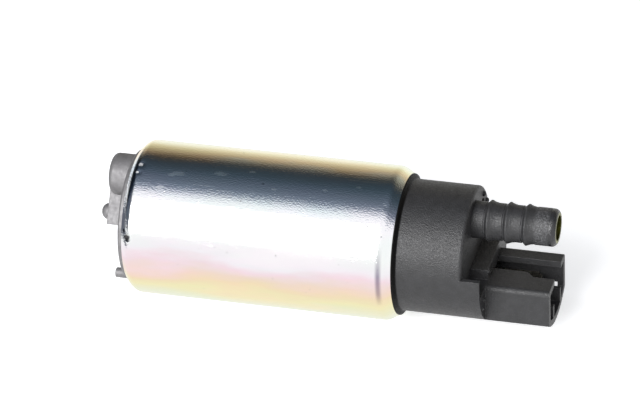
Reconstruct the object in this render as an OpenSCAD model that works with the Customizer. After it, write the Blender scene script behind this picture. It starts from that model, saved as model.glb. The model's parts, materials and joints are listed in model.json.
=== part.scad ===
// In-tank turbine fuel pump: steel case, cast inlet cover, moulded outlet cap with barbed nipple
// and two-blade connector. Every piece is drawn upright around the shaft, inlet at the bottom,
// with z = 0 at the middle of the clamp band. The last step lays the pump on its side.

/* [Steel case] */
// Outside diameter of the steel case, where the tank module grips it
case_d = 38; // [37:0.5:40]
// Wall of the steel case
case_wall = 1.2; // [1:0.05:1.4]
// Length of the straight band between the two rolled ends
band_length = 61.3; // [61:0.1:64]
// Outside radius of the bend at the inlet end
inlet_curl_r = 2.6; // [2.4:0.1:3]
// How far the inlet end is rolled in
inlet_curl_angle = 45; // [40:1:50]
// Straight lip after the inlet bend
inlet_curl_land = 1.2; // [1:0.1:1.4]
// Outside radius of the bend at the outlet end
outlet_curl_r = 2.4; // [2.3:0.1:2.8]
// How far the outlet end is rolled in
outlet_curl_angle = 50; // [46:1:52]
// Straight lip after the outlet bend
outlet_curl_land = 1.49; // [1.3:0.01:1.5]

/* [Inlet cover] */
// How far the face stands out of the rolled end
cover_proud = 1.3; // [0.8:0.1:1.6]
// Thickness of the cover from its face to the pump chamber
cover_thickness = 5; // [4.8:0.1:6]
// Direction of the block and the pin across the face
block_angle = 57; // [50:1:60]
// Direction of the inlet snout across the face
snout_angle = 78; // [72:1:84]
// Distance of the inlet snout from the shaft
snout_offset = 10.2; // [9.8:0.1:10.4]
// Outside diameter of the inlet snout
snout_d = 10.4; // [10:0.1:11]
// Bore of the inlet snout
snout_bore_d = 7; // [6.6:0.1:7.2]
// Rounding of the snout's outer edge
snout_round = 1.4; // [0.8:0.1:1.5]
// Height of the inlet snout above the face
snout_height = 6; // [5.6:0.1:8]
// Height of the flat block across the shaft
block_height = 6.6; // [5:0.1:7]
// Width of the flat block
block_width = 5.8; // [5.2:0.1:6.4]
// Diameter of the dome over the shaft's end
dome_d = 4.2; // [3.6:0.1:4.6]
// How far the dome stands above the block
dome_height = 2.2; // [1.6:0.1:2.6]
// Distance of the strainer pin from the shaft
pin_offset = 14.8; // [14:0.1:15]
// Diameter of the strainer pin
pin_d = 2.5; // [2:0.1:2.6]
// Height of the strainer pin above the face
pin_height = 3.6; // [3:0.1:6]

/* [Outlet cap] */
// Diameter of the drum
drum_d = 32.3; // [32:0.1:32.4]
// Height of the drum's end above the band
drum_height = 20.6; // [19.5:0.1:22]
// Diameter of the lip over the rolled end
lip_d = 34.7; // [34.2:0.1:35.4]
// Thickness of that lip
lip_thickness = 1.6; // [1.3:0.1:1.8]
// Wall of the cap
cap_wall = 1.75; // [1.6:0.05:1.9]
// Thickness of the drum's end
cap_end = 2; // [1.8:0.1:2.4]
// Rounding of the drum's end edge
drum_round = 0.8; // [0.4:0.1:1.2]
// Height of the step that carries the connector
step_height = 4.4; // [4:0.1:5]
// How far the step's straight edge lies below the shaft
step_edge = 1.0; // [0.8:0.1:1.4]

/* [Nipple] */
// Distance of the nipple from the shaft
nipple_offset = 9.4; // [9.2:0.1:9.5]
// Height of the nipple above the drum's end
nipple_height = 20.7; // [20.2:0.1:23]
// Plain diameter of the nipple's end
nipple_d = 9.3; // [9.1:0.1:9.5]
// Diameter between the barbs
nipple_root_d = 9.1; // [8.9:0.1:9.4]
// Diameter over the barbs
barb_d = 10.2; // [9.8:0.1:10.4]
// Height of the first barb above the drum's end
first_barb = 3.9; // [3.6:0.1:4.4]
// Distance from barb to barb
barb_pitch = 4.6; // [4.4:0.1:4.8]
// Number of barbs
barb_count = 3; // [2:1:3]
// Rounding of the nipple's mouth
mouth_round = 1.3; // [1:0.1:1.4]
// Bore of the nipple
nipple_bore_d = 7.6; // [7.4:0.1:7.6]
// Wall of the metal sleeve in the nipple
sleeve_wall = 0.65; // [0.6:0.05:0.8]

/* [Connector] */
// Height of the shroud above the step
shroud_height = 15.75; // [15:0.05:18]
// Width over the shroud's side walls
shroud_width = 18.8; // [18.4:0.1:19.4]
// Distance of the shroud's top below the shaft
shroud_top = 3.6; // [3.4:0.1:4]
// Wall of the shroud
shroud_wall = 1.6; // [1.4:0.1:1.7]
// Rounding of the shroud's top corners
shroud_round = 1.3; // [1:0.1:1.4]
// Distance of the latch slot's far edge from the middle
slot_far = 4.9; // [4.4:0.1:5.4]
// Distance of the slot's near edge from the middle
slot_near = 0.9; // [0.6:0.1:1.2]
// The same distance where the slot is wide
slot_near_mouth = 2.9; // [2.4:0.1:3.4]
// Length of the slot's narrow part
slot_root_length = 8.6; // [7:0.1:10]
// Half width of the raised block between the nipple and the shroud
step_block = 6.2; // [5.8:0.1:6.6]
// Height of the thin wall beside that block, above the shaft
wing_top = 1.7; // [1.4:0.1:2]
// Thickness of that wall
wing_wall = 1.2; // [1:0.1:1.4]
// Thickness of the two keying ribs
key_rib = 1; // [0.8:0.1:1.2]
// Distance between the keying ribs
key_gap = 8; // [7:0.1:9]
// Width of a contact blade
blade_width = 4.8; // [4:0.1:5]
// Thickness of a contact blade
blade_thickness = 0.8; // [0.6:0.1:1]
// Distance between the blades' middles
blade_pitch = 7.2; // [6.6:0.1:7.6]
// Depth of the blades below the shaft
blade_depth = 8.6; // [8.4:0.1:9]
// Length of blade inside the shroud
blade_length = 11; // [9:0.1:13]

/* [Pump stage] */
// Diameter of the impeller
impeller_d = 29.2; // [28.6:0.1:29.6]
// Thickness of the impeller
impeller_t = 3.8; // [3.4:0.1:4.2]
// Number of vanes
vane_count = 36; // [30:1:40]
// Length of the vane pockets
vane_length = 2.4; // [2:0.1:2.6]
// Outer band of the impeller
impeller_band = 1; // [0.8:0.1:1.2]
// Depth of the side channels
channel_depth = 1.4; // [1:0.1:1.6]
// Thickness of the pump housing's floor
housing_floor = 4; // [3.6:0.1:4.4]
// Height of the bearing boss on that floor
bearing_height = 4.2; // [3.6:0.1:4.6]

/* [Motor] */
// Diameter of the shaft
shaft_d = 4; // [3.8:0.1:4.2]
// Outside diameter of the bushes
bush_d = 6.8; // [6.6:0.1:7]
// Air gap between the laminated core and the magnets
air_gap = 0.86; // [0.6:0.02:1]
// Length of the laminated core
core_length = 26; // [24:0.5:26]
// Number of slots and commutator segments
pole_count = 8; // [6:1:8]
// Height of the winding over each end of the core
overhang = 3.8; // [3:0.1:4]
// Radial thickness of the magnets
magnet_t = 4.3; // [4:0.1:4.4]
// Length of the magnets
magnet_length = 32; // [28:0.5:33]
// Arc of each magnet
magnet_arc = 130; // [120:1:136]
// Diameter of the commutator's face
commutator_d = 20.4; // [20:0.1:21]
// Thickness of the carbon segments
carbon_t = 3; // [2.4:0.1:3.2]
// Side of the square brushes
brush_side = 5; // [4.8:0.1:5.2]
// Length of the brushes
brush_length = 9; // [8:0.1:9.4]
// Distance of a brush from the shaft
brush_offset = 7; // [6.8:0.1:7.2]

/* [Clearances] */
// Gap of a pressed or seated piece
seat_gap = 0.04; // [0.02:0.01:0.06]
// Gap of a piece that turns or slides
running_gap = 0.08; // [0.05:0.01:0.1]

/* [Hidden] */

$fn = 96;
eps = 0.01;
arc_steps = 10;

band_top = band_length / 2;
band_bottom = -band_length / 2;
case_r = case_d / 2;
case_bore_r = case_r - case_wall;
seat_r = case_bore_r - seat_gap;

// Pump stage, from the cover up
face_edge = 0.4;
block_tail = 3.2;
pin_edge = 0.3;
inlet_curl_height = curl_height(inlet_curl_r, inlet_curl_angle, inlet_curl_land);
cover_bottom = band_bottom - inlet_curl_height - cover_proud;
chamber_z = cover_bottom + cover_thickness;
impeller_z = chamber_z + running_gap;
chamber_top = impeller_z + impeller_t + running_gap;
housing_top = chamber_top + housing_floor;
boss_top = housing_top + bearing_height;
boss_r = bush_d / 2 + 2.2;
vane_t = 0.7;
balance_at = impeller_d * 0.22;
balance_r = 0.9;
pocket_in = impeller_d / 2 - impeller_band - vane_length;
channel_in = pocket_in - 0.2;
channel_out = impeller_d / 2 - impeller_band + 0.2;
channel_r = (channel_in + channel_out) / 2;
channel_arc = 310;
channel_end_r = (channel_out - channel_in) / 2 - 0.1;
port_r = 1.1;
shaft_r = shaft_d / 2;
bush_bore_r = shaft_r + running_gap;
bush_inset = 0.6;
lower_bush_z = chamber_top + bush_inset;
lower_bush_length = boss_top - lower_bush_z - bush_inset;
pad_t = 1;
pad_pocket = 3;
pad_r = shaft_r + 0.55;
shaft_bottom = chamber_z - pad_pocket + pad_t + running_gap;
shaft_edge = 0.4;
flat_depth = 0.5;

// Motor, from the magnets up
magnet_r = case_bore_r - seat_gap;
clip_t = 0.5;
clip_fold = 2.2;
core_r = magnet_r - magnet_t - air_gap;
core_z = -core_length / 2 + 1;
core_top = core_z + core_length;
magnet_z = core_z + core_length / 2 - magnet_length / 2 + 1;
core_hub_r = 4.6;
tooth_width = 2.6;
tooth_tip = 1.2;
slot_mouth = 2;
insulation = 0.15;
overhang_round = 1.2;
winding_r = core_r - tooth_tip - 0.6;
hub_z = core_top + overhang + 0.6;
hub_t = 2;
carbon_z = hub_z + hub_t;
carbon_top = carbon_z + carbon_t;
carbon_bore_r = 3.9;
segment_slit = 0.5;
segment_arc = 360 / pole_count - 2 * asin(segment_slit / 2 / (carbon_bore_r + 2.3));
washer_t = 0.5;
washer_r = 3.2;

// Brush holder and cap, from the commutator up
plate_z = carbon_top + 1.7;
plate_t = 2;
plate_top = plate_z + plate_t;
tube_z = carbon_top + 0.8;
tube_wall = 1.05;
tube_half = brush_side / 2 + running_gap + tube_wall;
brush_z = carbon_top + 0.05;
lead_hole_r = 0.9;
lead_hole_depth = 2;
lead_r = 0.55;
brush_top = brush_z + brush_length;
spring_length = 7.6;
tab_z = brush_top + spring_length + 0.1;
upper_boss = 5.4;
upper_bush_inset = 0.5;
holder_boss_r = bush_d / 2 + seat_gap + 0.9;
shaft_top = plate_z + upper_boss - 0.4;
vent_at = seat_r * 0.6;
vent_r = 1.6;

drum_r = drum_d / 2;
drum_top = band_top + drum_height;
ceiling = drum_top - cap_end;
cavity_r = drum_r - cap_wall;
outlet_curl_height = curl_height(outlet_curl_r, outlet_curl_angle, outlet_curl_land);
lip_r = lip_d / 2;
lip_z = band_top + outlet_curl_height + 0.15;
lip_slope = 0.6;
lip_flat = 0.25;
step_top = drum_top + step_height;
cap_nub_r = 0.7;
cap_nubs = [29, 48];
nub_r = 0.45;
step_nubs = [[-5.6, -1.6], [-11.4, -6], [-12.3, -8]];
seal_r = 0.86;
seal_z = plate_top + 1.9;
seal_groove = 2;

shroud_end = step_top + shroud_height;
shroud_floor = step_top - 2;
shroud_half = shroud_width / 2;
shroud_in = shroud_half - shroud_wall;
slot_flare = 1.9;
key_top = -10.4;
blade_end = step_top + blade_length;
blade_y = -blade_depth;
blade_nose = 0.8;
tab_half = 2.3;
window_size = [2.4, 2.3, 1.5];
window_at = [shroud_in + 0.8, -12.55, shroud_end - 2.3];

// Valves in the cap
nipple_end = drum_top + nipple_height;
bore_r = nipple_bore_d / 2;
sleeve_r = bore_r - seat_gap;
passage_r = sleeve_r - sleeve_wall;
// One barb from its groove to the next plain stretch: height from the crest, share of the rise
barb_shape = [[-1.1, 0], [-1, -0.35], [-0.8, -0.35], [-0.65, 0], [-0.1, 1], [0.1, 1],
    [0.7, 0.5], [1.3, 0.18], [2, 0]];
valve_r = 4;
valve_tube_r = 4.95;
seat_z = tab_z - 2;
seat_t = 2.5;
seat_hole_r = 2;
seat_cone = 1.2;
valve_z = seat_z + seat_t + 0.05;
valve_head_r = 3.7;
valve_head_t = 1.1;
valve_nose = 0.9;
valve_stem_r = 1.2;
valve_stem = 3.6;
valve_notch = 2.2;
check_spring_r = 3.4;
check_wire = 0.5;
relief_at = [8.2, 8.2];
relief_bore_r = 1.9;
relief_tube_r = 2.9;
relief_hole_r = 1;
relief_bottom = ceiling - 8;
relief_seat_z = relief_bottom + 1.4;
ball_r = 1.55;
ball_z = relief_seat_z + sqrt(ball_r * ball_r - relief_hole_r * relief_hole_r) + 0.04;
plug_t = 1.6;
plug_z = drum_top - 0.6 - plug_t;
plug_hole_r = 0.9;
relief_spring_r = 1.45;
relief_wire = 0.35;

// Chokes beside the brush tubes
choke_at = [9.2, -6.8];
choke_core_r = 1.5;
choke_wire = 0.7;
choke_turns = 12;
choke_length = 14;
choke_boss = 1.6;
choke_coil_z = plate_top + 2.4;

function curl_height(r, angle, land) = r * sin(angle) + land * cos(angle);

// Points of a rolled end, from the band outward, set in by a given depth from the outside
function curl(r, angle, land, inset) = concat(
    [for (i = [0 : arc_steps])
        [case_r - r + (r - inset) * cos(angle * i / arc_steps),
         (r - inset) * sin(angle * i / arc_steps)]],
    [[case_r - r + (r - inset) * cos(angle) - land * sin(angle),
      (r - inset) * sin(angle) + land * cos(angle)]]
);

function above(points, z) = [for (p = points) [p[0], z + p[1]]];
function below(points, z) = [for (p = points) [p[0], z - p[1]]];
function flip(points) = [for (i = [len(points) - 1 : -1 : 0]) points[i]];

// The pump lies on its side: outlet along +X, nipple up
module lay() {
    rotate([90, 0, 90]) children();
}

module tube(r_out, r_in, z, h) {
    translate([0, 0, z]) difference() {
        cylinder(r = r_out, h = h);
        translate([0, 0, -eps]) cylinder(r = r_in, h = h + 2 * eps);
    }
}

module disc(r, z, h) {
    translate([0, 0, z]) cylinder(r = r, h = h);
}

module box_at(x0, x1, y0, y1, z0, z1) {
    translate([x0, y0, z0]) cube([x1 - x0, y1 - y0, z1 - z0]);
}

// Sector of a ring between two radii, centred on +X
module ring_sector(r_out, r_in, arc) {
    reach = 2 * r_out;
    difference() {
        circle(r = r_out);
        circle(r = r_in);
        if (arc < 180) {
            rotate(arc / 2) translate([-reach, 0]) square([2 * reach, reach]);
            rotate(-arc / 2) translate([-reach, -reach]) square([2 * reach, reach]);
        } else {
            half = (360 - arc) / 2;
            polygon([[0, 0], [-reach, -reach * tan(half)], [-reach, reach * tan(half)]]);
        }
    }
}

// Compression spring swept as a round wire, with its ends squared to its length
module coil_spring(r, wire, turns, length) {
    steps = 18;
    sides = 6;
    rings = turns * steps;
    travel = length - wire;
    points = [for (i = [0 : rings], j = [0 : sides - 1])
        let (
            a = 360 * i / steps,
            b = 360 * j / sides,
            q = r + wire / 2 * cos(b),
            z = wire / 2 + travel * i / rings + wire / 2 * sin(b)
        ) [q * cos(a), q * sin(a), z]];
    walls = [for (i = [0 : rings - 1], j = [0 : sides - 1])
        [i * sides + j, i * sides + (j + 1) % sides,
         (i + 1) * sides + (j + 1) % sides, (i + 1) * sides + j]];
    first = [for (j = [sides - 1 : -1 : 0]) j];
    last = [for (j = [0 : sides - 1]) rings * sides + j];
    polyhedron(points, concat([first], walls, [last]), convexity = turns + 2);
}

module steel_case() {
    outer = concat(
        flip(above(curl(outlet_curl_r, outlet_curl_angle, outlet_curl_land, 0), band_top)),
        below(curl(inlet_curl_r, inlet_curl_angle, inlet_curl_land, 0), band_bottom)
    );
    inner = concat(
        flip(below(curl(inlet_curl_r, inlet_curl_angle, inlet_curl_land, case_wall), band_bottom)),
        above(curl(outlet_curl_r, outlet_curl_angle, outlet_curl_land, case_wall), band_top)
    );
    color([0.80, 0.75, 0.60]) lay() rotate_extrude($fn = 180) polygon(concat(outer, inner));
}

// A post that points down to its rounded end
module round_post(r, z, end_z, round_r) {
    edge = [for (i = [0 : arc_steps])
        [r - round_r + round_r * sin(90 * i / arc_steps),
         end_z + round_r - round_r * cos(90 * i / arc_steps)]];
    rotate_extrude() polygon(concat([[0, end_z]], edge, [[r, z], [0, z]]));
}

// Ring-shaped groove that carries the fuel round beside the vanes, with round ends
module side_channel(z) {
    translate([0, 0, z]) linear_extrude(channel_depth + 1) {
        rotate(snout_angle + channel_arc / 2)
            ring_sector(channel_out, channel_in, channel_arc);
        for (turn = [0, channel_arc]) rotate(snout_angle + turn) translate([channel_r, 0])
            circle(r = channel_end_r, $fn = 48);
    }
}

module inlet_cover() {
    seat = curl(inlet_curl_r, inlet_curl_angle, inlet_curl_land, case_wall + seat_gap);
    face_r = seat[len(seat) - 1][0];
    profile = concat(
        [[0, cover_bottom], [face_r - face_edge, cover_bottom],
         [face_r, cover_bottom + face_edge]],
        flip(below(seat, band_bottom)),
        [[seat_r, chamber_z], [0, chamber_z]]
    );
    snout_end = cover_bottom - snout_height;
    block_end = cover_bottom - block_height;
    color([0.62, 0.61, 0.62]) lay() difference() {
        union() {
            rotate_extrude() polygon(profile);
            rotate(snout_angle) translate([snout_offset, 0])
                round_post(snout_d / 2, cover_bottom + 1, snout_end, snout_round);
            rotate(block_angle) {
                box_at(-block_tail, snout_offset - snout_d / 2 + 1.3,
                    -block_width / 2, block_width / 2, block_end, cover_bottom + 1);
                round_post(dome_d / 2, block_end + 1, block_end - dome_height, dome_d / 2 - 0.2);
                translate([-pin_offset, 0])
                    round_post(pin_d / 2, cover_bottom + 1, cover_bottom - pin_height, pin_edge);
            }
        }
        rotate(snout_angle) {
            translate([snout_offset, 0])
                disc(snout_bore_d / 2, snout_end - 1, chamber_z - channel_depth - snout_end);
            translate([channel_r, 0]) disc(port_r, cover_bottom + 1, cover_thickness);
        }
        side_channel(chamber_z - channel_depth);
        disc(shaft_r + 0.6, chamber_z - pad_pocket, pad_pocket + 1);
    }
}

module pump_housing() {
    color([0.68, 0.68, 0.70]) lay() difference() {
        union() {
            disc(seat_r, chamber_z, housing_top - chamber_z);
            disc(boss_r, housing_top - 1, bearing_height + 1);
        }
        disc(impeller_d / 2 + 2 * running_gap, chamber_z - 1, chamber_top - chamber_z + 1);
        side_channel(chamber_top - 1);
        rotate(snout_angle + channel_arc) translate([channel_r, 0])
            disc(port_r, chamber_top, housing_floor + 1);
        disc(shaft_r + 0.5, chamber_top - 1, lower_bush_z - chamber_top + 2);
        disc(bush_d / 2 + seat_gap, lower_bush_z, boss_top - lower_bush_z + 1);
    }
}

module impeller() {
    pocket_width = 2 * PI * pocket_in / vane_count - vane_t;
    color([0.25, 0.22, 0.20]) lay() translate([0, 0, impeller_z]) linear_extrude(impeller_t)
        difference() {
            circle(d = impeller_d);
            for (i = [0 : vane_count - 1]) rotate(i * 360 / vane_count)
                translate([pocket_in, -pocket_width / 2]) square([vane_length, pocket_width]);
            for (i = [0 : 3]) rotate(45 + i * 90) translate([balance_at, 0])
                circle(r = balance_r, $fn = 24);
            difference() {
                circle(r = shaft_r + seat_gap);
                translate([shaft_r - flat_depth + seat_gap, -shaft_r]) square([shaft_d, shaft_d]);
            }
        }
}

module thrust_pad() {
    color([0.35, 0.36, 0.38]) lay() disc(pad_r, chamber_z - pad_pocket, pad_t);
}

module lower_bush() {
    color([0.70, 0.52, 0.28]) lay()
        tube(bush_d / 2, bush_bore_r, lower_bush_z, lower_bush_length);
}

module upper_bush() {
    color([0.70, 0.52, 0.28]) lay()
        tube(bush_d / 2, bush_bore_r, plate_z + upper_bush_inset,
            upper_boss - 2 * upper_bush_inset);
}

module shaft() {
    flat_end = impeller_z + impeller_t;
    color([0.75, 0.76, 0.78]) lay() difference() {
        union() {
            disc(shaft_r, shaft_bottom + shaft_edge, shaft_top - shaft_bottom - 2 * shaft_edge);
            translate([0, 0, shaft_bottom])
                cylinder(r1 = shaft_r - shaft_edge, r2 = shaft_r, h = shaft_edge);
            translate([0, 0, shaft_top - shaft_edge])
                cylinder(r1 = shaft_r, r2 = shaft_r - shaft_edge, h = shaft_edge);
        }
        box_at(shaft_r - flat_depth, shaft_d, -shaft_d, shaft_d, shaft_bottom - 1, flat_end);
    }
}

// One lamination: hub, teeth and tooth tips
module lamination(grow) {
    circle(r = core_hub_r + grow);
    for (i = [0 : pole_count - 1]) rotate((i + 0.5) * 360 / pole_count) {
        translate([0, -tooth_width / 2 - grow]) square([core_r - 0.4, tooth_width + 2 * grow]);
        tip_arc = 360 / pole_count - 2 * asin(slot_mouth / 2 / core_r);
        ring_sector(core_r, core_r - tooth_tip - grow, tip_arc);
    }
}

module armature_core() {
    color([0.42, 0.43, 0.46]) lay() translate([0, 0, core_z]) linear_extrude(core_length)
        difference() {
            lamination(0);
            circle(r = shaft_r + seat_gap);
        }
}

module overhang_ring(z) {
    r_out = winding_r;
    round_r = overhang_round;
    translate([0, 0, z]) rotate_extrude() difference() {
        translate([core_hub_r - 1, 0]) square([r_out - core_hub_r + 1, overhang]);
        translate([r_out - round_r, overhang - round_r]) difference() {
            square(round_r + 1);
            circle(r = round_r, $fn = 48);
        }
    }
}

module windings() {
    color([0.72, 0.38, 0.18]) lay() {
        translate([0, 0, core_z - eps]) linear_extrude(core_length + 2 * eps) difference() {
            circle(r = winding_r);
            lamination(insulation);
        }
        overhang_ring(core_top + eps);
        translate([0, 0, core_z - eps]) mirror([0, 0, 1]) overhang_ring(0);
    }
}

module commutator_hub() {
    color([0.25, 0.16, 0.10]) lay() difference() {
        union() {
            disc(commutator_d / 2, hub_z, hub_t);
            disc(carbon_bore_r - 0.1, hub_z, hub_t + carbon_t - 0.4);
        }
        disc(shaft_r + seat_gap, hub_z - 1, hub_t + carbon_t + 2);
    }
}

module commutator() {
    color([0.16, 0.16, 0.17]) lay() translate([0, 0, carbon_z]) linear_extrude(carbon_t)
        for (i = [0 : pole_count - 1]) rotate(i * 360 / pole_count)
            ring_sector(commutator_d / 2, carbon_bore_r, segment_arc);
}

module thrust_washers() {
    color([0.85, 0.80, 0.62]) lay() {
        tube(washer_r, shaft_r + seat_gap, boss_top + running_gap, washer_t);
        tube(washer_r - 0.4, shaft_r + seat_gap, plate_z - running_gap - washer_t, washer_t);
    }
}

module magnet(turn) {
    color([0.22, 0.22, 0.24]) lay() rotate(turn) translate([0, 0, magnet_z])
        linear_extrude(magnet_length) ring_sector(magnet_r, magnet_r - magnet_t, magnet_arc);
}

module magnet_a() { magnet(0); }
module magnet_b() { magnet(180); }

// Spring clip that spreads the magnets: a strip on the case with its edges folded in
module magnet_clip(turn) {
    gap_arc = 180 - magnet_arc;
    strip_arc = gap_arc - 1;
    color([0.62, 0.64, 0.67]) lay() rotate(turn) translate([0, 0, magnet_z])
        linear_extrude(magnet_length) {
            ring_sector(magnet_r, magnet_r - clip_t, strip_arc);
            for (side = [-1, 1]) rotate(side * (strip_arc - clip_fold) / 2)
                ring_sector(magnet_r - 0.1, magnet_r - magnet_t + 0.8, clip_fold);
        }
}

module magnet_clip_a() { magnet_clip(90); }
module magnet_clip_b() { magnet_clip(270); }

module brush_holder() {
    color([0.88, 0.86, 0.78]) lay() difference() {
        union() {
            disc(seat_r, plate_z, plate_t);
            disc(holder_boss_r, plate_z, upper_boss);
            for (side = [-1, 1])
                box_at(side * brush_offset - tube_half, side * brush_offset + tube_half,
                    -tube_half, tube_half, tube_z, tab_z);
            for (side = [-1, 1]) translate([side * choke_at[0], choke_at[1]])
                disc(choke_core_r + 1, plate_z, plate_t + choke_boss);
        }
        for (side = [-1, 1]) {
            half = brush_side / 2 + running_gap;
            box_at(side * brush_offset - half, side * brush_offset + half, -half, half,
                tube_z - 1, tab_z + 1);
            translate([side * choke_at[0], choke_at[1]])
                disc(choke_core_r + seat_gap, plate_top, choke_boss + 1);
        }
        disc(shaft_r + 0.3, plate_z - 1, 2);
        disc(bush_d / 2 + seat_gap, plate_z + upper_bush_inset, upper_boss);
        for (a = [60, 90, 120, 250, 270, 290]) rotate(a) translate([vent_at, 0])
            disc(vent_r, plate_z - 1, plate_t + 2);
    }
}

module brush(side) {
    color([0.15, 0.15, 0.16]) lay() difference() {
        box_at(side * brush_offset - brush_side / 2, side * brush_offset + brush_side / 2,
            -brush_side / 2, brush_side / 2, brush_z, brush_top);
        translate([side * brush_offset, 0])
            disc(lead_hole_r, brush_top - lead_hole_depth, lead_hole_depth + 1);
    }
}

module brush_a() { brush(1); }
module brush_b() { brush(-1); }

module brush_spring(side) {
    color([0.70, 0.71, 0.73]) lay() translate([side * brush_offset, 0, brush_top + 0.05])
        coil_spring(1.9, 0.45, 6, spring_length);
}

module brush_spring_a() { brush_spring(1); }
module brush_spring_b() { brush_spring(-1); }

module brush_lead(side) {
    color([0.75, 0.42, 0.20]) lay() translate([side * brush_offset, 0])
        disc(lead_r, brush_top - lead_hole_depth + 0.1, tab_z - brush_top + lead_hole_depth - 0.15);
}

module brush_lead_a() { brush_lead(1); }
module brush_lead_b() { brush_lead(-1); }

module choke_core(side) {
    color([0.24, 0.23, 0.23]) lay() translate([side * choke_at[0], choke_at[1]])
        disc(choke_core_r, plate_top, choke_length + 3);
}

module choke_core_a() { choke_core(1); }
module choke_core_b() { choke_core(-1); }

// The choke's enamelled turns lie against each other, so they are one ribbed sleeve
module choke_coil(side) {
    pitch = choke_length / choke_turns;
    inner = choke_core_r + seat_gap;
    color([0.76, 0.40, 0.18]) lay() translate([side * choke_at[0], choke_at[1], choke_coil_z])
        rotate_extrude($fn = 48) difference() {
            union() {
                translate([inner, 0]) square([choke_wire * 0.7, choke_length]);
                for (i = [0 : choke_turns - 1])
                    translate([inner + choke_wire * 0.6, (i + 0.5) * pitch])
                        circle(d = pitch * 0.98, $fn = 24);
            }
            translate([-5, -1]) square([5 + inner, choke_length + 2]);
        }
}

module choke_coil_a() { choke_coil(1); }
module choke_coil_b() { choke_coil(-1); }

// A tab over the brush tube, a strap across the drum and the contact blade
module terminal(side) {
    half = blade_width / 2;
    x = side * blade_pitch / 2;
    near_tab = side * brush_offset;
    color([0.82, 0.80, 0.72]) lay() difference() {
        union() {
            box_at(min(x - half, near_tab - tab_half), max(x + half, near_tab + tab_half),
                -tab_half, tab_half, tab_z, tab_z + blade_thickness);
            box_at(x - half, x + half, blade_y, 0, tab_z, tab_z + blade_thickness);
            box_at(x - half, x + half, blade_y, blade_y + blade_thickness, tab_z, blade_end - 1);
            box_at(x - half + blade_nose, x + half - blade_nose,
                blade_y, blade_y + blade_thickness, blade_end - 2, blade_end);
        }
        translate([x, blade_y + 2, blade_end - 4]) rotate([90, 0, 0])
            cylinder(r = 0.7, h = 4, $fn = 32);
    }
}

module terminal_a() { terminal(1); }
module terminal_b() { terminal(-1); }

// Outline of the shroud, seen along the shaft: flat sides, the drum's own curve below
module shroud_outline(inset) {
    top = -shroud_top - inset;
    half = shroud_half - inset;
    round_r = max(shroud_round - inset, 0.3);
    intersection() {
        circle(r = drum_r - inset, $fn = 180);
        union() {
            translate([-half, -drum_r]) square([2 * half, drum_r + top - round_r]);
            translate([-half + round_r, -drum_r]) square([2 * (half - round_r), drum_r + top]);
            for (side = [-1, 1])
                translate([side * (half - round_r), top - round_r]) circle(r = round_r, $fn = 48);
        }
    }
}

// The latch slot in the shroud's top wall, narrow at its root
module latch_slot() {
    wide_z = step_top + slot_root_length;
    translate([0, -shroud_top + 1, 0]) rotate([90, 0, 0]) linear_extrude(shroud_wall + 2)
        polygon([
            [-slot_near, step_top], [slot_far, step_top], [slot_far, shroud_end + 1],
            [-slot_near_mouth, shroud_end + 1], [-slot_near_mouth, wide_z + slot_flare],
            [-slot_near, wide_z]
        ]);
}

// Where the drum's own wall carries on into the step, seen along the shaft
module step_foot() {
    intersection() {
        circle(r = drum_r, $fn = 180);
        union() {
            translate([-drum_d, -step_edge - drum_d]) square([2 * drum_d, drum_d]);
            translate([-drum_d, wing_top - drum_d]) square([drum_d - step_block, drum_d]);
        }
    }
}

// Step under the shroud: a raised block, with a pocket and a thin wall beside it
module step() {
    translate([0, 0, drum_top]) linear_extrude(step_height) difference() {
        step_foot();
        intersection() {
            circle(r = drum_r - wing_wall, $fn = 180);
            translate([-drum_d, -shroud_top]) square([drum_d - step_block, drum_d]);
        }
    }
}

module keying_ribs() {
    intersection() {
        for (side = [-1, 1])
            box_at(side * key_gap / 2 - key_rib / 2, side * key_gap / 2 + key_rib / 2,
                -drum_r, key_top, shroud_floor - 1, shroud_end);
        disc(drum_r - shroud_wall / 2, shroud_floor - 1, shroud_end - shroud_floor + 1);
    }
}

module blade_holes(z0, z1) {
    half = blade_width / 2 + seat_gap;
    for (side = [-1, 1])
        box_at(side * blade_pitch / 2 - half, side * blade_pitch / 2 + half,
            blade_y - seat_gap, blade_y + blade_thickness + seat_gap, z0, z1);
}

module connector_shroud() {
    color([0.20, 0.20, 0.21]) lay() {
        difference() {
            union() {
                step();
                translate([0, 0, drum_top])
                    linear_extrude(shroud_end - drum_top) shroud_outline(0);
                for (at = step_nubs) translate([at[0], at[1], step_top]) sphere(r = nub_r);
            }
            translate([0, 0, shroud_floor]) linear_extrude(shroud_end - shroud_floor + 1)
                shroud_outline(shroud_wall);
            latch_slot();
            translate(window_at) cube(window_size, center = true);
            blade_holes(drum_top - 1, shroud_floor + 1);
        }
        keying_ribs();
    }
}

module nipple_profile() {
    root_r = nipple_root_d / 2;
    end_r = nipple_d / 2;
    barbs = [for (i = [0 : barb_count - 1], p = barb_shape)
        [root_r + p[1] * (barb_d / 2 - root_r), drum_top + first_barb + i * barb_pitch + p[0]]];
    edge = [for (i = [0 : arc_steps])
        [end_r - mouth_round + mouth_round * cos(90 * i / arc_steps),
         nipple_end - mouth_round + mouth_round * sin(90 * i / arc_steps)]];
    polygon(concat([[0, drum_top], [root_r, drum_top]], barbs,
        [[end_r, barbs[len(barbs) - 1][1] + 0.3]], edge, [[0, nipple_end]]));
}

module barbed_nipple() {
    color([0.20, 0.20, 0.21]) lay() translate([0, nipple_offset]) difference() {
        rotate_extrude() nipple_profile();
        disc(bore_r, drum_top - 1, nipple_height + 2);
    }
}

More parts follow.
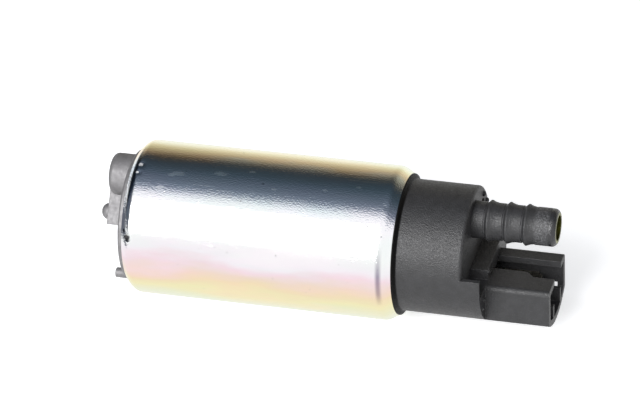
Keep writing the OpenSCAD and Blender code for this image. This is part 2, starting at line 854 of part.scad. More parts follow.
// The cap's moulding is drawn as three nodes that meet on the drum's end: the cap with its
// valve tubes here, the barbed nipple and the connector shroud above
module outlet_cap() {
    seat = curl(outlet_curl_r, outlet_curl_angle, outlet_curl_land, case_wall + seat_gap);
    under = [for (p = above(seat, band_top)) if (p[0] > drum_r) p];
    top_edge = [for (i = [0 : arc_steps])
        [drum_r - drum_round + drum_round * cos(90 * i / arc_steps),
         drum_top - drum_round + drum_round * sin(90 * i / arc_steps)]];
    groove_r = case_bore_r - 2 * seal_r;
    body = concat(
        [[cavity_r, plate_top], [seat_r, plate_top],
         [seat_r, seal_z - seal_groove / 2], [groove_r, seal_z - seal_groove / 2],
         [groove_r, seal_z + seal_groove / 2], [seat_r, seal_z + seal_groove / 2]],
        under,
        [[drum_r, under[len(under) - 1][1]], [drum_r, lip_z], [lip_r - lip_slope / 2, lip_z],
         [lip_r, lip_z + lip_slope], [lip_r, lip_z + lip_slope + lip_flat],
         [drum_r, lip_z + lip_thickness]],
        top_edge,
        [[0, drum_top], [0, ceiling], [cavity_r, ceiling]]
    );
    color([0.20, 0.20, 0.21]) lay() difference() {
        union() {
            rotate_extrude($fn = 180) polygon(body);
            translate([0, 0, ceiling]) linear_extrude(cap_end) step_foot();
            translate([0, nipple_offset]) disc(valve_tube_r, seat_z, ceiling - seat_z + eps);
            intersection() {
                translate(relief_at) disc(relief_tube_r, relief_bottom, ceiling - relief_bottom);
                disc(cavity_r + 0.5, relief_bottom, ceiling - relief_bottom + 1);
            }
            for (turn = cap_nubs) rotate(turn) translate([cavity_r, 0, drum_top])
                sphere(r = cap_nub_r);
        }
        blade_holes(ceiling - 1, drum_top + 1);
        translate([0, nipple_offset]) {
            disc(passage_r, ceiling - 1, cap_end + 2);
            disc(valve_r, seat_z - 1, ceiling - seat_z + 1);
        }
        translate(relief_at) {
            disc(relief_hole_r, relief_bottom - 1, 4);
            disc(relief_bore_r, relief_seat_z, drum_top);
        }
    }
}

module cap_seal() {
    color([0.12, 0.12, 0.12]) lay() translate([0, 0, seal_z]) rotate_extrude()
        translate([case_bore_r - seal_r, 0]) circle(r = seal_r - seat_gap, $fn = 48);
}

module nipple_sleeve() {
    color([0.62, 0.62, 0.25]) lay() translate([0, nipple_offset])
        tube(sleeve_r, passage_r, drum_top, nipple_height - 0.1);
}

module check_seat() {
    color([0.78, 0.66, 0.36]) lay() translate([0, nipple_offset]) difference() {
        disc(valve_r - seat_gap, seat_z, seat_t);
        disc(seat_hole_r, seat_z - 1, seat_t + 2);
        translate([0, 0, seat_z + seat_t - seat_cone])
            cylinder(r1 = seat_hole_r, r2 = seat_hole_r + seat_cone + eps, h = seat_cone + eps);
    }
}

module check_valve() {
    cone_r = seat_hole_r + seat_cone - 0.05;
    color([0.35, 0.30, 0.24]) lay() translate([0, nipple_offset]) difference() {
        union() {
            translate([0, 0, valve_z - valve_nose])
                cylinder(r1 = cone_r - valve_nose, r2 = cone_r, h = valve_nose);
            disc(valve_head_r, valve_z, valve_head_t);
            disc(valve_stem_r, valve_z, valve_head_t + valve_stem);
        }
        for (i = [0 : 3]) rotate(45 + i * 90)
            box_at(valve_head_r - 0.5, valve_r + 1, -valve_notch / 2, valve_notch / 2,
                valve_z - 1, valve_z + valve_head_t + 1);
    }
}

module check_spring() {
    color([0.70, 0.71, 0.73]) lay()
        translate([0, nipple_offset, valve_z + valve_head_t + 0.03])
            coil_spring(check_spring_r, check_wire, 4,
                ceiling - valve_z - valve_head_t - 0.06);
}

module relief_ball() {
    color([0.75, 0.76, 0.78]) lay() translate([relief_at[0], relief_at[1], ball_z])
        sphere(r = ball_r);
}

module relief_spring() {
    color([0.70, 0.71, 0.73]) lay()
        translate([relief_at[0], relief_at[1], ball_z + 0.9])
            coil_spring(relief_spring_r, relief_wire, 5, plug_z - ball_z - 0.93);
}

module relief_plug() {
    color([0.78, 0.66, 0.36]) lay() translate(relief_at)
        tube(relief_bore_r - seat_gap, plug_hole_r, plug_z, plug_t);
}

steel_case();
inlet_cover();
pump_housing();
impeller();
thrust_pad();
lower_bush();
shaft();
armature_core();
windings();
commutator_hub();
commutator();
thrust_washers();
magnet_a();
magnet_b();
magnet_clip_a();
magnet_clip_b();
brush_holder();
upper_bush();
brush_a();
brush_b();
brush_spring_a();
brush_spring_b();
brush_lead_a();
brush_lead_b();
choke_core_a();
choke_core_b();
choke_coil_a();
choke_coil_b();
terminal_a();
terminal_b();
outlet_cap();
barbed_nipple();
connector_shroud();
cap_seal();
nipple_sleeve();
check_seat();
check_valve();
check_spring();
relief_ball();
relief_spring();
relief_plug();
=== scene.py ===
"""Looks of an in-tank fuel pump that lies on its side: finishes, fine forms, light and camera."""

import json
import math

import bpy
from mathutils import Matrix, Vector


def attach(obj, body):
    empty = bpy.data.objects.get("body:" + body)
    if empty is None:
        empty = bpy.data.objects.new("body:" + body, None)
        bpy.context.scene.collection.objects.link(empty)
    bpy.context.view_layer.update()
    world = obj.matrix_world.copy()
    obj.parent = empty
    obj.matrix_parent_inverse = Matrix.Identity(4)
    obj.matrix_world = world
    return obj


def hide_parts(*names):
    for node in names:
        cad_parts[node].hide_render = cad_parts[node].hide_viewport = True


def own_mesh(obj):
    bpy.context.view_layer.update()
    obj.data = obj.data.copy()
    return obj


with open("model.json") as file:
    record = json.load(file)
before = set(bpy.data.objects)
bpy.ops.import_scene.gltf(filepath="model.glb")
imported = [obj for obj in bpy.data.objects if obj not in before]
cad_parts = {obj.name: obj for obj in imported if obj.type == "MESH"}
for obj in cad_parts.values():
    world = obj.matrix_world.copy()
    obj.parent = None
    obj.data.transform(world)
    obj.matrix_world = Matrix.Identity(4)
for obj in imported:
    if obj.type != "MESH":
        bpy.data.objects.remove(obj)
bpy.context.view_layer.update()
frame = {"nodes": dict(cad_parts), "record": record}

MM = 0.001
TURN = 2 * math.pi

# Camera: where it stands as seen from the pump, in the tilt at which the pump lies in the photograph
CAMERA_AZIMUTH = math.radians(14.62)
CAMERA_ELEVATION = math.radians(24.76)
CAMERA_DISTANCE = 1038 * MM
CAMERA_ASIDE = 12.66 * MM
CAMERA_RAISED = 4.58 * MM
ROLL_DEGREES = 8.0
PUMP_ROLL = math.radians(ROLL_DEGREES)
FIT_ORIGIN = Vector((-0.85 * MM, 0, 0))
SENSOR_WIDTH = 36
FOCAL_LENGTH = 237.8

# Studio: strength of the surroundings against the angle round the pump's axis, 0 = level and in front
SKY_STOPS = (
    (-180, (0.93, 0.94, 0.90)),
    (-100, (1.0, 1.0, 1.0)),
    (57, (1.0, 1.0, 1.0)),
    (65, (0.62, 0.64, 0.70)),
    (71, (0.20, 0.23, 0.29)),
    (80, (0.135, 0.155, 0.20)),
    (92, (0.09, 0.105, 0.135)),
    (106, (0.045, 0.06, 0.075)),
    (122, (0.035, 0.042, 0.052)),
    (131, (0.08, 0.07, 0.06)),
    (139, (0.24, 0.21, 0.17)),
    (154, (0.56, 0.52, 0.43)),
    (168, (0.86, 0.86, 0.80)),
    (180, (0.93, 0.94, 0.90)),
)
DARK_SIDE = ((-0.66, (0.09, 0.105, 0.135)), (-0.44, (1.0, 1.0, 1.0)))
FLOOR_SIZE = 6.0
FLOOR_GLOW = 0.58
TABLE_END = -0.09
FLOOR_COLOUR = (0.86, 0.87, 0.89)
KEY_ENERGY = 6.0
KEY_SIZE = 0.40
KEY_PLACE = Vector((-0.16, -0.56, 0.34))

# Case: a tube with both ends rolled in, a hair inside the frame's own. Each end: radius, degrees,
# straight lip
CASE_R = 18.99
CASE_WALL = 1.2
BAND_END = 30.65
INLET_CURL = (2.6, 45, 1.2)
OUTLET_CURL = (3.4, 33, 1.97)
CURL_STEPS = 14
CASE_STEPS = 320
# Dings of the rolled ends: place along, angle from the front, half length, half width, depth
DINGS = (
    (-30.60, 66, 0.75, 1.00, 0.22),
    (-30.80, 58, 0.50, 0.55, 0.18),
    (-31.45, 7, 0.60, 0.85, 0.30),
    (-30.30, 16, 0.80, 1.30, 0.06),
    (31.60, 52, 0.50, 0.90, 0.06),
    (31.20, -18, 0.60, 1.10, 0.05),
)
# Scuffs that only dull it, drawn out along: place along, angle from the front, radius of the patch
SCUFF_STRETCH = 0.4
SCUFFS = (
    (-20.9, 61, 0.8), (-22.6, 59, 0.5), (-10.4, 65, 0.9),
    (-24.6, 48, 0.5), (15.9, 60, 0.4), (-3.0, 70, 0.5), (3.5, 56, 0.35), (24.0, 66, 0.4),
)
# Painted shade of the shallow ring before the outlet's rolled end: place along, half width, angles
RING_SHADE = (31.4, 1.0, -30, 22)
# Painted glints on the rolled end, patches made white and rougher: place along, angle from the front, radius of the
# patch
PAINTED_GLINTS = ((-30.9, 66, 0.75), (-31.2, 58.5, 0.5), (-30.4, 12, 0.6))
# Painted dark reflection at dings of the inlet's rolled end, made near black: place along, angle from the front,
# radius of the patch
PAINTED_DING_SHADE = ((-31.45, 7, 1.15), (-32.60, 12, 0.7))


# Cap's plastic: darkest and palest colour, roughness, grain and its depth in millimetres
BLACK = ((0.020, 0.020, 0.021), (0.030, 0.030, 0.032), 0.50, 0.28, 0.065)
# Outer end of the cap's lip, in millimetres along
LIP_END = 35.2
# Where the three nodes of the cap's one moulding meet, in millimetres along
CAP_SEAM = 51.25
# Nipple: where the rubbed stretch and the glossy mouth begin, in millimetres along
RUBBED_FROM = 66.3
MOUTH_FROM = 70.3
# Nodes whose finish is a variant of their slot's
VARIANTS = {"outlet_cap": "cap_plastic", "barbed_nipple": "nipple_plastic"}


# Pieces that shorten as a joint moves, their outlet end standing still, copied here as they stand: joint and travel in
# millimetres
SPRUNG = {
    "brush_spring_a": ("brush_a_slide", 2.5),
    "brush_lead_a": ("brush_a_slide", 2.5),
    "brush_spring_b": ("brush_b_slide", 2.5),
    "brush_lead_b": ("brush_b_slide", 2.5),
    "check_spring": ("check_valve_lift", 2.0),
    "relief_spring": ("relief_ball_lift", 1.2),
}


def node_tree(name):
    """A new material with its tree emptied down to a Principled shader and its output."""
    material = bpy.data.materials.new(name)
    material.use_nodes = True
    tree = material.node_tree
    shader = tree.nodes["Principled BSDF"]
    return material, tree, shader


def add(tree, kind, inputs=None, **settings):
    """Adds one node, sets its properties and feeds or sets its inputs by name or number."""
    made = tree.nodes.new(kind)
    for key, value in settings.items():
        setattr(made, key, value)
    for key, value in (inputs or {}).items():
        if isinstance(value, bpy.types.NodeSocket):
            tree.links.new(value, made.inputs[key])
        else:
            made.inputs[key].default_value = value
    return made


def maths(tree, operation, a, b=0.0):
    return add(tree, "ShaderNodeMath", {0: a, 1: b}, operation=operation).outputs[0]


def place(tree, scale=(1, 1, 1)):
    """Position on the part in millimetres, stretched by scale."""
    coords = add(tree, "ShaderNodeTexCoord")
    grown = [s / MM for s in scale]
    return add(tree, "ShaderNodeMapping", {"Vector": coords.outputs["Object"], "Scale": grown}).outputs[0]


def noise(tree, where, scale, detail=3.0, rough=0.5):
    made = add(tree, "ShaderNodeTexNoise",
               {"Vector": where, "Scale": scale, "Detail": detail, "Roughness": rough})
    return made.outputs["Fac"]


def ramp(tree, value, stops, interpolation="LINEAR"):
    """Colour ramp with (position, colour) stops; a colour may be a single grey."""
    made = add(tree, "ShaderNodeValToRGB", {"Fac": value})
    band = made.color_ramp
    band.interpolation = interpolation
    for i, (position, colour) in enumerate(stops):
        grey = isinstance(colour, (int, float))
        rgb = (colour, colour, colour) if grey else colour
        stop = band.elements[i] if i < 2 else band.elements.new(position)
        stop.position = position
        stop.color = (*rgb, 1)
    return made.outputs["Color"]


def mix(tree, factor, a, b, blend="MIX"):
    made = add(tree, "ShaderNodeMix", data_type="RGBA", blend_type=blend)
    sockets = {"Factor": made.inputs[0], "A": made.inputs[6], "B": made.inputs[7]}
    for key, value in (("Factor", factor), ("A", a), ("B", b)):
        if isinstance(value, bpy.types.NodeSocket):
            tree.links.new(value, sockets[key])
        elif key == "Factor":
            sockets[key].default_value = value
        else:
            sockets[key].default_value = (*value, 1)
    return made.outputs[2]


def bump(tree, height, distance, strength=1.0, under=None):
    inputs = {"Height": height, "Distance": distance, "Strength": strength}
    if under is not None:
        inputs["Normal"] = under
    return add(tree, "ShaderNodeBump", inputs).outputs[0]


def near(tree, where, point, radius):
    """1 within radius of a point in millimetres, with a ragged edge."""
    gap = add(tree, "ShaderNodeVectorMath", {0: where, 1: point}, operation="DISTANCE").outputs["Value"]
    ragged = maths(tree, "ADD", gap, maths(tree, "MULTIPLY", noise(tree, where, 1.5, 3.0, 0.7), radius))
    return ramp(tree, maths(tree, "DIVIDE", ragged, radius * 2), ((0.55, 1.0), (0.72, 0.0)))


def pale_edge_mask(tree, radius_mm):
    """1 on the part's sharp edges, 0 on its faces."""
    rounded = soft_edges(tree, radius_mm)
    plain = add(tree, "ShaderNodeNewGeometry").outputs["Normal"]
    same = add(tree, "ShaderNodeVectorMath", {0: rounded, 1: plain}, operation="DOT_PRODUCT").outputs["Value"]
    return ramp(tree, same, ((0.90, 1.0), (0.995, 0.0)))


def soft_edges(tree, radius_mm):
    """Normals with the part's sharp edges slightly rounded."""
    along = add(tree, "ShaderNodeSeparateXYZ", {0: place(tree)}).outputs["X"]
    off = maths(tree, "ABSOLUTE", maths(tree, "SUBTRACT", along, CAP_SEAM))
    away = maths(tree, "GREATER_THAN", off, 0.3)
    radius = maths(tree, "MULTIPLY", away, radius_mm * MM)
    return add(tree, "ShaderNodeBevel", {"Radius": radius}, samples=6).outputs[0]


def angle_round_axis(tree):
    """Angle round the pump's axis as a fraction of a turn: 0 at the front, a quarter on top."""
    coords = add(tree, "ShaderNodeTexCoord")
    parts = add(tree, "ShaderNodeSeparateXYZ", {0: coords.outputs["Object"]})
    front = maths(tree, "MULTIPLY", parts.outputs["Y"], -1.0)
    angle = maths(tree, "ARCTAN2", parts.outputs["Z"], front)
    return maths(tree, "ADD", maths(tree, "DIVIDE", angle, TURN), 0.5), parts.outputs["X"]


def bands_round_axis(tree, stops, wander=0.0):
    """Colours by the angle round the axis in degrees as the pump lies, level and in front = 0."""
    around, _ = angle_round_axis(tree)
    if wander:
        drift = noise(tree, place(tree, (0.030, 0.09, 0.09)), 1.0, 4.0)
        around = maths(tree, "ADD", around, maths(tree, "MULTIPLY", maths(tree, "SUBTRACT", drift, 0.5), wander))
    placed = [((degrees + ROLL_DEGREES) / 360 + 0.5, colour) for degrees, colour in stops]
    return ramp(tree, around, placed)


def ring_shade(tree):
    """Painted shade where the shallow ring near the outlet's rolled end is seen darker, fading towards its ends."""
    along, half_width, first, last = RING_SHADE
    around, x = angle_round_axis(tree)
    degrees = maths(tree, "SUBTRACT", maths(tree, "MULTIPLY", maths(tree, "SUBTRACT", around, 0.5), 360), ROLL_DEGREES)
    share = maths(tree, "DIVIDE", maths(tree, "SUBTRACT", degrees, first), last - first)
    length = ramp(tree, share, ((0.0, 0.0), (0.25, 0.8), (0.55, 1.0), (1.0, 0.0)))
    off = maths(tree, "ABSOLUTE", maths(tree, "SUBTRACT", maths(tree, "DIVIDE", x, MM), along))
    width = ramp(tree, maths(tree, "DIVIDE", off, half_width), ((0.1, 1.0), (1.0, 0.0)), "EASE")
    return maths(tree, "MULTIPLY", length, width)


def zinc_steel():
    """Bright zinc plate under a thin chromate coating: bands of straw, pink, peach and green, partly the coating's own
    tint and partly painted reflection colour.
    """
    material, tree, shader = node_tree("zinc_steel")
    where = place(tree)
    # Colour bands by the angle round the axis as the pump lies: partly the chromate's own tint, partly painted
    # reflection colour.
    film_and_painted_reflection = bands_round_axis(tree, (
        (-165, (0.90, 0.88, 0.70)),
        (-110, (0.88, 0.90, 0.80)),
        (-70, (0.78, 0.84, 0.66)),
        (-52, (0.84, 0.86, 0.62)),
        (-38, (0.92, 0.84, 0.52)),
        (-28, (0.92, 0.76, 0.52)),
        (-20, (0.92, 0.73, 0.62)),
        (-11, (0.93, 0.76, 0.82)),
        (-3, (0.94, 0.90, 0.95)),
        (12, (0.97, 0.97, 0.98)),
        (40, (0.95, 0.97, 1.0)),
        (62, (0.80, 0.93, 1.0)),
        (76, (0.80, 0.86, 0.84)),
        (84, (1.0, 0.84, 0.60)),
        (92, (0.98, 0.88, 0.58)),
        (104, (0.95, 0.95, 0.72)),
        (118, (0.94, 0.96, 0.84)),
        (160, (0.92, 0.86, 0.72)),
    ), 0.13)
    patches = ramp(tree, noise(tree, place(tree, (0.05, 0.16, 0.16)), 1.0, 3.0), (
        (0.38, (0.92, 0.97, 0.93)), (0.62, (1.0, 0.95, 0.97))))
    tint = mix(tree, 0.6, film_and_painted_reflection, patches, "MULTIPLY")
    specks = ramp(tree, noise(tree, where, 0.9, 2.0), ((0.225, 0.5), (0.25, 1.0)))
    tint = mix(tree, 1.0, tint, specks, "MULTIPLY")
    # Painted dark reflection: near-black patches where dings of the inlet's rolled end look dark.
    for along, degrees, radius in PAINTED_DING_SHADE:
        tint = mix(tree, near(tree, where, on_case(along, degrees, CASE_R - 0.6), radius), tint, (0.10, 0.10, 0.10))
    # Painted shade at the shallow ring near the outlet's rolled end.
    tint = mix(tree, ring_shade(tree), tint, mix(tree, 1.0, tint, (0.42, 0.40, 0.47), "MULTIPLY"))
    shader.inputs["Metallic"].default_value = 1.0
    haze = ramp(tree, noise(tree, place(tree, (0.10, 0.3, 0.3)), 1.0, 4.0), ((0.3, 0.07), (0.7, 0.12)))
    drawn_out = place(tree, (SCUFF_STRETCH, 1, 1))
    for along, degrees, radius in SCUFFS:
        patch = near(tree, drawn_out, on_case(along * SCUFF_STRETCH, degrees, CASE_R), radius)
        haze = mix(tree, maths(tree, "MULTIPLY", patch, 0.6), haze, (0.42, 0.42, 0.42))
    # Painted glints: white, rougher patches where the dinged rolled end looks bright.
    for along, degrees, radius in PAINTED_GLINTS:
        patch = near(tree, where, on_case(along, degrees, CASE_R - 0.3), radius)
        tint = mix(tree, patch, tint, (1.0, 1.0, 1.0))
        haze = mix(tree, patch, haze, (0.60, 0.60, 0.60))
    tree.links.new(tint, shader.inputs["Base Color"])
    tree.links.new(haze, shader.inputs["Roughness"])
    grain = noise(tree, where, 3.0, 0.0, 0.5)
    scratches = ramp(tree, noise(tree, place(tree, (0.06, 6.0, 6.0)), 1.0, 2.0), ((0.70, 0.0), (0.76, 1.0)))
    fine = bump(tree, grain, 0.037 * MM, 1.0)
    tree.links.new(bump(tree, scratches, 0.01 * MM, 0.5, fine), shader.inputs["Normal"])
    return material


def cast_aluminium():
    """Die-cast aluminium, matte grey with a fine grain and faint darker patches."""
    material, tree, shader = node_tree("cast_aluminium")
    where = place(tree)
    tone = ramp(tree, noise(tree, where, 0.35, 5.0, 0.6), (
        (0.30, (0.20, 0.195, 0.20)), (0.70, (0.30, 0.295, 0.30))))
    tree.links.new(tone, shader.inputs["Base Color"])
    shader.inputs["Metallic"].default_value = 0.7
    tree.links.new(ramp(tree, noise(tree, where, 1.3), ((0.3, 0.58), (0.7, 0.72))), shader.inputs["Roughness"])
    coarse = bump(tree, noise(tree, where, 1.6, 4.0, 0.7), 0.05 * MM, 1.0, soft_edges(tree, 0.25))
    tree.links.new(bump(tree, noise(tree, where, 6.0), 0.02 * MM, 1.0, coarse), shader.inputs["Normal"])
    return material


def moulded_plastic(name, dark, pale, rough, grain_mm, depth_mm, size_mm=0.5):
    """Moulded plastic with a fine grain, slightly mottled."""
    material, tree, shader = node_tree(name)
    where = place(tree)
    tone = ramp(tree, noise(tree, where, 0.5, 4.0, 0.6), ((0.3, dark), (0.7, pale)))
    # Paler along the sharp edges, in patches.
    edge_paling = maths(tree, "MULTIPLY", pale_edge_mask(tree, 0.22), ramp(tree, noise(tree, where, 0.8), ((0.4, 0.15), (0.6, 0.7))))
    tree.links.new(mix(tree, edge_paling, tone, [c * 3 + 0.02 for c in pale]), shader.inputs["Base Color"])
    spread = ramp(tree, noise(tree, where, 1 / grain_mm, 2.0), ((0.3, rough - 0.16), (0.7, rough + 0.12)))
    tree.links.new(spread, shader.inputs["Roughness"])
    cells = add(tree, "ShaderNodeTexVoronoi", {"Vector": where, "Scale": 1 / grain_mm})
    pits = bump(tree, cells.outputs["Distance"], depth_mm * MM, 1.0, soft_edges(tree, 0.15))
    wavy = bump(tree, noise(tree, where, 1 / size_mm, 3.0), depth_mm * 1.5 * MM, 0.8, pits)
    tree.links.new(wavy, shader.inputs["Normal"])
    return material


def cap_plastic():
    """The black plastic on the cap, with painted shade on its lip next to the case: there as good as black and with
    little shine.
    """
    material = moulded_plastic("cap_plastic", *BLACK)
    tree = material.node_tree
    shader = tree.nodes["Principled BSDF"]
    along = add(tree, "ShaderNodeSeparateXYZ", {0: place(tree)}).outputs["X"]
    drum = ramp(tree, maths(tree, "SUBTRACT", along, LIP_END - 0.5), ((0.3, 0.0), (0.7, 1.0)))
    tone = shader.inputs["Base Color"].links[0].from_socket
    # Painted shade: the lip between the case and the drum is made near black and given little shine.
    tree.links.new(mix(tree, drum, (0.004, 0.004, 0.004), tone), shader.inputs["Base Color"])
    tree.links.new(maths(tree, "ADD", maths(tree, "MULTIPLY", drum, 0.4), 0.1), shader.inputs["Specular IOR Level"])
    return material


def nipple_plastic():
    """The black plastic on the nipple: rubbed and speckled near its end, glossy round the mouth."""
    material = moulded_plastic("nipple_plastic", *BLACK)
    tree = material.node_tree
    shader = tree.nodes["Principled BSDF"]
    where = place(tree)
    along = add(tree, "ShaderNodeSeparateXYZ", {0: where}).outputs["X"]
    share = maths(tree, "DIVIDE", maths(tree, "SUBTRACT", along, RUBBED_FROM), MOUTH_FROM - RUBBED_FROM)
    band = ramp(tree, share, ((0.0, 0.0), (0.25, 1.0), (0.85, 1.0), (0.97, 0.0)))
    specks = ramp(tree, noise(tree, where, 2.6, 3.0, 0.7), ((0.46, 0.0), (0.60, 0.8)))
    tone = shader.inputs["Base Color"].links[0].from_socket
    rubbed = mix(tree, maths(tree, "MULTIPLY", band, specks), tone, (0.11, 0.11, 0.115))
    tree.links.new(rubbed, shader.inputs["Base Color"])
    spread = shader.inputs["Roughness"].links[0].from_socket
    mouth = ramp(tree, share, ((0.97, 0.0), (1.0, 1.0)))
    tree.links.new(mix(tree, mouth, spread, (0.22, 0.22, 0.22)), shader.inputs["Roughness"])
    return material


def bare_metal(name, dark, pale, rough, stretch=(1, 1, 1), depth_mm=0.01):
    """Metal with a drawn, turned or stamped grain along the stretched direction."""
    material, tree, shader = node_tree(name)
    where = place(tree, stretch)
    tone = ramp(tree, noise(tree, where, 1.2, 4.0), ((0.3, dark), (0.7, pale)))
    tree.links.new(tone, shader.inputs["Base Color"])
    shader.inputs["Metallic"].default_value = 1.0
    tree.links.new(ramp(tree, noise(tree, where, 2.0), ((0.3, rough - 0.06), (0.7, rough + 0.08))),
                   shader.inputs["Roughness"])
    tree.links.new(bump(tree, noise(tree, where, 4.0), depth_mm * MM), shader.inputs["Normal"])
    return material


def make_materials():
    return {
        "zinc_steel": zinc_steel(),
        "cast_aluminium": cast_aluminium(),
        "black_plastic": moulded_plastic("black_plastic", *BLACK),
        "cap_plastic": cap_plastic(),
        "nipple_plastic": nipple_plastic(),
        "impeller_plastic": moulded_plastic(
            "impeller_plastic", (0.05, 0.04, 0.035), (0.08, 0.065, 0.055), 0.5, 0.25, 0.02),
        "natural_plastic": moulded_plastic(
            "natural_plastic", (0.66, 0.64, 0.55), (0.76, 0.74, 0.66), 0.45, 0.4, 0.01),
        "phenolic": moulded_plastic(
            "phenolic", (0.10, 0.055, 0.03), (0.16, 0.09, 0.05), 0.45, 0.3, 0.015),
        "ground_steel": bare_metal("ground_steel", (0.52, 0.53, 0.55), (0.66, 0.67, 0.69), 0.22, (4, 1, 1)),
        "laminations": bare_metal("laminations", (0.20, 0.21, 0.23), (0.34, 0.35, 0.37), 0.40, (6, 0.4, 0.4)),
        "copper": bare_metal("copper", (0.55, 0.22, 0.09), (0.78, 0.38, 0.18), 0.30, (3, 1, 1)),
        "bronze": bare_metal("bronze", (0.42, 0.27, 0.11), (0.58, 0.40, 0.18), 0.38),
        "tinned_brass": bare_metal("tinned_brass", (0.58, 0.55, 0.47), (0.74, 0.71, 0.62), 0.30, (0.4, 3, 3)),
        "olive_sleeve": bare_metal("olive_sleeve", (0.11, 0.115, 0.02), (0.24, 0.24, 0.06), 0.34),
        "ferrite": moulded_plastic("ferrite", (0.05, 0.05, 0.055), (0.09, 0.09, 0.095), 0.6, 0.2, 0.02),
        "carbon": moulded_plastic("carbon", (0.03, 0.03, 0.033), (0.06, 0.06, 0.065), 0.5, 0.15, 0.01),
        "spring_steel": bare_metal("spring_steel", (0.46, 0.47, 0.50), (0.62, 0.63, 0.66), 0.25, (1, 3, 3)),
        "seal_rubber": moulded_plastic("seal_rubber", (0.015, 0.015, 0.016), (0.025, 0.025, 0.026), 0.6, 0.3, 0.01),
    }


def dress_nodes(materials):
    """Every CAD node gets the procedural material of its slot in the record."""
    for part in frame["record"]["subparts"]:
        mesh = frame["nodes"][part["node"]].data
        mesh.materials.clear()
        mesh.materials.append(materials[VARIANTS.get(part["node"], part["material_slot"])])


def make_floor():
    lowest = -CASE_R * MM
    half = FLOOR_SIZE / 2
    mesh = bpy.data.meshes.new("floor")
    corners = [(-half, -half, lowest), (half, -half, lowest), (half, half, lowest), (-half, half, lowest)]
    mesh.from_pydata(corners, [], [(0, 1, 2, 3)])
    floor = bpy.data.objects.new("floor", mesh)
    bpy.context.scene.collection.objects.link(floor)
    material, tree, shader = node_tree("studio_floor")
    tree.nodes.remove(shader)
    rays = add(tree, "ShaderNodeLightPath")
    seen = maths(tree, "MAXIMUM", rays.outputs["Is Camera Ray"], rays.outputs["Is Transmission Ray"])
    paper = add(tree, "ShaderNodeBsdfDiffuse", {"Color": (*FLOOR_COLOUR, 1)})
    glow = add(tree, "ShaderNodeEmission", {"Color": (1, 1, 1, 1), "Strength": maths(tree, "MULTIPLY", seen, FLOOR_GLOW)})
    lit = add(tree, "ShaderNodeAddShader", {0: paper.outputs[0], 1: glow.outputs[0]})
    parts = add(tree, "ShaderNodeSeparateXYZ", {0: add(tree, "ShaderNodeTexCoord").outputs["Object"]})
    beyond = maths(tree, "LESS_THAN", parts.outputs["X"], TABLE_END)
    beside = maths(tree, "LESS_THAN", maths(tree, "ABSOLUTE", parts.outputs["Y"]), -TABLE_END)
    table = mix(tree, maths(tree, "MULTIPLY", beyond, beside), (1.0, 1.0, 1.0), (0.12, 0.13, 0.16))
    white = add(tree, "ShaderNodeEmission", {"Color": table, "Strength": 1.0})
    both = add(tree, "ShaderNodeMixShader",
               {0: rays.outputs["Is Glossy Ray"], 1: lit.outputs[0], 2: white.outputs[0]})
    tree.links.new(both.outputs[0], tree.nodes["Material Output"].inputs["Surface"])
    mesh.materials.append(material)


def make_sky():
    """White table and walls, a large white panel in front and a dark ceiling, as bands round the pump."""
    world = bpy.data.worlds.new("studio")
    bpy.context.scene.world = world
    world.use_nodes = True
    tree = world.node_tree
    direction = add(tree, "ShaderNodeTexCoord").outputs["Generated"]
    parts = add(tree, "ShaderNodeSeparateXYZ", {0: direction})
    front = maths(tree, "MULTIPLY", parts.outputs["Y"], -1.0)
    angle = maths(tree, "ARCTAN2", parts.outputs["Z"], front)
    turn = maths(tree, "ADD", maths(tree, "DIVIDE", angle, TURN), 0.5 - ROLL_DEGREES / 360)
    bands = ramp(tree, turn, [(degrees / 360 + 0.5, colour) for degrees, colour in SKY_STOPS])
    aside = maths(tree, "ADD", maths(tree, "MULTIPLY", parts.outputs["X"], 0.5), 0.5)
    side = ramp(tree, aside, [(x * 0.5 + 0.5, colour) for x, colour in DARK_SIDE])
    tree.links.new(mix(tree, 1.0, bands, side, "MULTIPLY"), tree.nodes["Background"].inputs["Color"])
    tree.nodes["Background"].inputs["Strength"].default_value = 1.0


def make_key():
    """A large soft panel above the front of the pump."""
    lamp = bpy.data.lights.new("key", "AREA")
    lamp.shape = "SQUARE"
    lamp.size = KEY_SIZE
    lamp.energy = KEY_ENERGY
    key = bpy.data.objects.new("key", lamp)
    key.location = KEY_PLACE
    key.rotation_mode = "QUATERNION"
    key.rotation_quaternion = (-KEY_PLACE).to_track_quat("-Z", "Y")
    bpy.context.scene.collection.objects.link(key)


def make_camera():
    """The photograph's camera, placed about the axis of the pump and turned back by the pump's roll."""
    cos_a, sin_a = math.cos(CAMERA_AZIMUTH), math.sin(CAMERA_AZIMUTH)
    cos_e, sin_e = math.cos(CAMERA_ELEVATION), math.sin(CAMERA_ELEVATION)
    back = Vector((sin_a * cos_e, -cos_a * cos_e, sin_e))
    right = Vector((cos_a, sin_a, 0))
    up = back.cross(right)
    place_fit = back * CAMERA_DISTANCE + right * CAMERA_ASIDE + up * CAMERA_RAISED + FIT_ORIGIN
    upright = Matrix((right, up, back)).transposed().to_4x4()
    lens = bpy.data.cameras.new("camera")
    lens.sensor_width = SENSOR_WIDTH
    lens.lens = FOCAL_LENGTH
    lens.clip_start = 0.01
    lens.clip_end = 20
    camera = bpy.data.objects.new("camera", lens)
    camera.matrix_world = Matrix.Rotation(-PUMP_ROLL, 4, "X") @ Matrix.Translation(place_fit) @ upright
    bpy.context.scene.collection.objects.link(camera)
    bpy.context.scene.camera = camera


def on_case(along, degrees, radius):
    """Point in millimetres at an angle from the front, as the pump lies."""
    angle = math.radians(degrees + ROLL_DEGREES)
    return Vector((along, -radius * math.cos(angle), radius * math.sin(angle)))


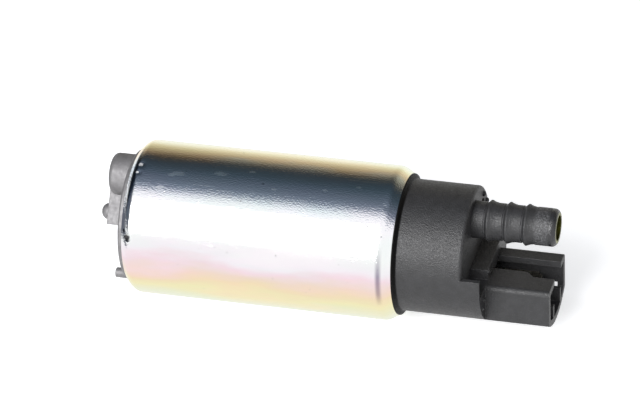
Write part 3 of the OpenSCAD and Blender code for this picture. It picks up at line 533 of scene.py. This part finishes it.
def rolled_end(curl, depth):
    """A rolled end as (radius, distance past the band), set in from the outside by depth."""
    radius, degrees, lip = curl
    last = math.radians(degrees)
    points = []
    for i in range(CURL_STEPS + 1):
        turn = last * i / CURL_STEPS
        points.append((CASE_R - radius + (radius - depth) * math.cos(turn), (radius - depth) * math.sin(turn)))
    r, x = points[-1]
    for part in (0.4, 0.8, 1.0):
        points.append((r - lip * part * math.sin(last), x + lip * part * math.cos(last)))
    return points


def case_profile():
    """The tube's section as (along, radius), outside from the outlet to the inlet, then back inside."""
    near_end = [BAND_END - 0.45 * i for i in range(1, 9)]
    outside = [(BAND_END + x, r) for r, x in reversed(rolled_end(OUTLET_CURL, 0))]
    outside += [(x, CASE_R) for x in near_end] + [(x, CASE_R) for x in (20, 10, 0, -10, -20)]
    outside += [(-x, CASE_R) for x in reversed(near_end)]
    outside += [(-BAND_END - x, r) for r, x in rolled_end(INLET_CURL, 0)]
    inside = [(-BAND_END - x, r) for r, x in reversed(rolled_end(INLET_CURL, CASE_WALL))]
    inside += [(BAND_END + x, r) for r, x in rolled_end(OUTLET_CURL, CASE_WALL)]
    return outside, inside


def dinged(point):
    """A point of the case's outside, pushed in where the part was knocked."""
    for along, degrees, half_length, half_width, depth in DINGS:
        centre = on_case(along, degrees, math.hypot(point.y, point.z))
        across = math.hypot(point.y - centre.y, point.z - centre.z)
        off = ((point.x - along) / half_length) ** 2 + (across / half_width) ** 2
        if off < 9:
            share = 1 - depth * math.exp(-off) / math.hypot(point.y, point.z)
            point = Vector((point.x, point.y * share, point.z * share))
    return point


def make_case():
    outside, inside = case_profile()
    section = outside + inside
    vertices, faces = [], []
    for step in range(CASE_STEPS):
        angle = TURN * step / CASE_STEPS
        for i, (x, r) in enumerate(section):
            point = Vector((x, -r * math.cos(angle), r * math.sin(angle)))
            vertices.append((dinged(point) if i < len(outside) else point) * MM)
    count = len(section)
    for step in range(CASE_STEPS):
        here, there = step * count, (step + 1) % CASE_STEPS * count
        for i in range(count):
            j = (i + 1) % count
            faces.append((here + i, here + j, there + j, there + i))
    mesh = bpy.data.meshes.new("case_skin")
    mesh.from_pydata(vertices, [], faces)
    mesh.polygons.foreach_set("use_smooth", [True] * len(mesh.polygons))
    mesh.set_sharp_from_angle(angle=math.radians(50))
    mesh.materials.append(materials["zinc_steel"])
    skin = bpy.data.objects.new("case_skin", mesh)
    bpy.context.scene.collection.objects.link(skin)
    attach(skin, "housing")
    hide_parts("steel_case")


def make_sprung_pieces():
    for name, (joint, travel) in SPRUNG.items():
        node = frame["nodes"][name]
        mesh = node.data.copy()
        mesh.transform(node.matrix_world)
        piece = bpy.data.objects.new(name + "_live", mesh)
        bpy.context.scene.collection.objects.link(piece)
        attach(piece, "housing")
        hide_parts(name)
        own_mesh(piece)


make_camera()
make_floor()
make_sky()
make_key()
bpy.context.scene.view_settings.view_transform = "Standard"
materials = make_materials()
dress_nodes(materials)
make_case()
make_sprung_pieces()
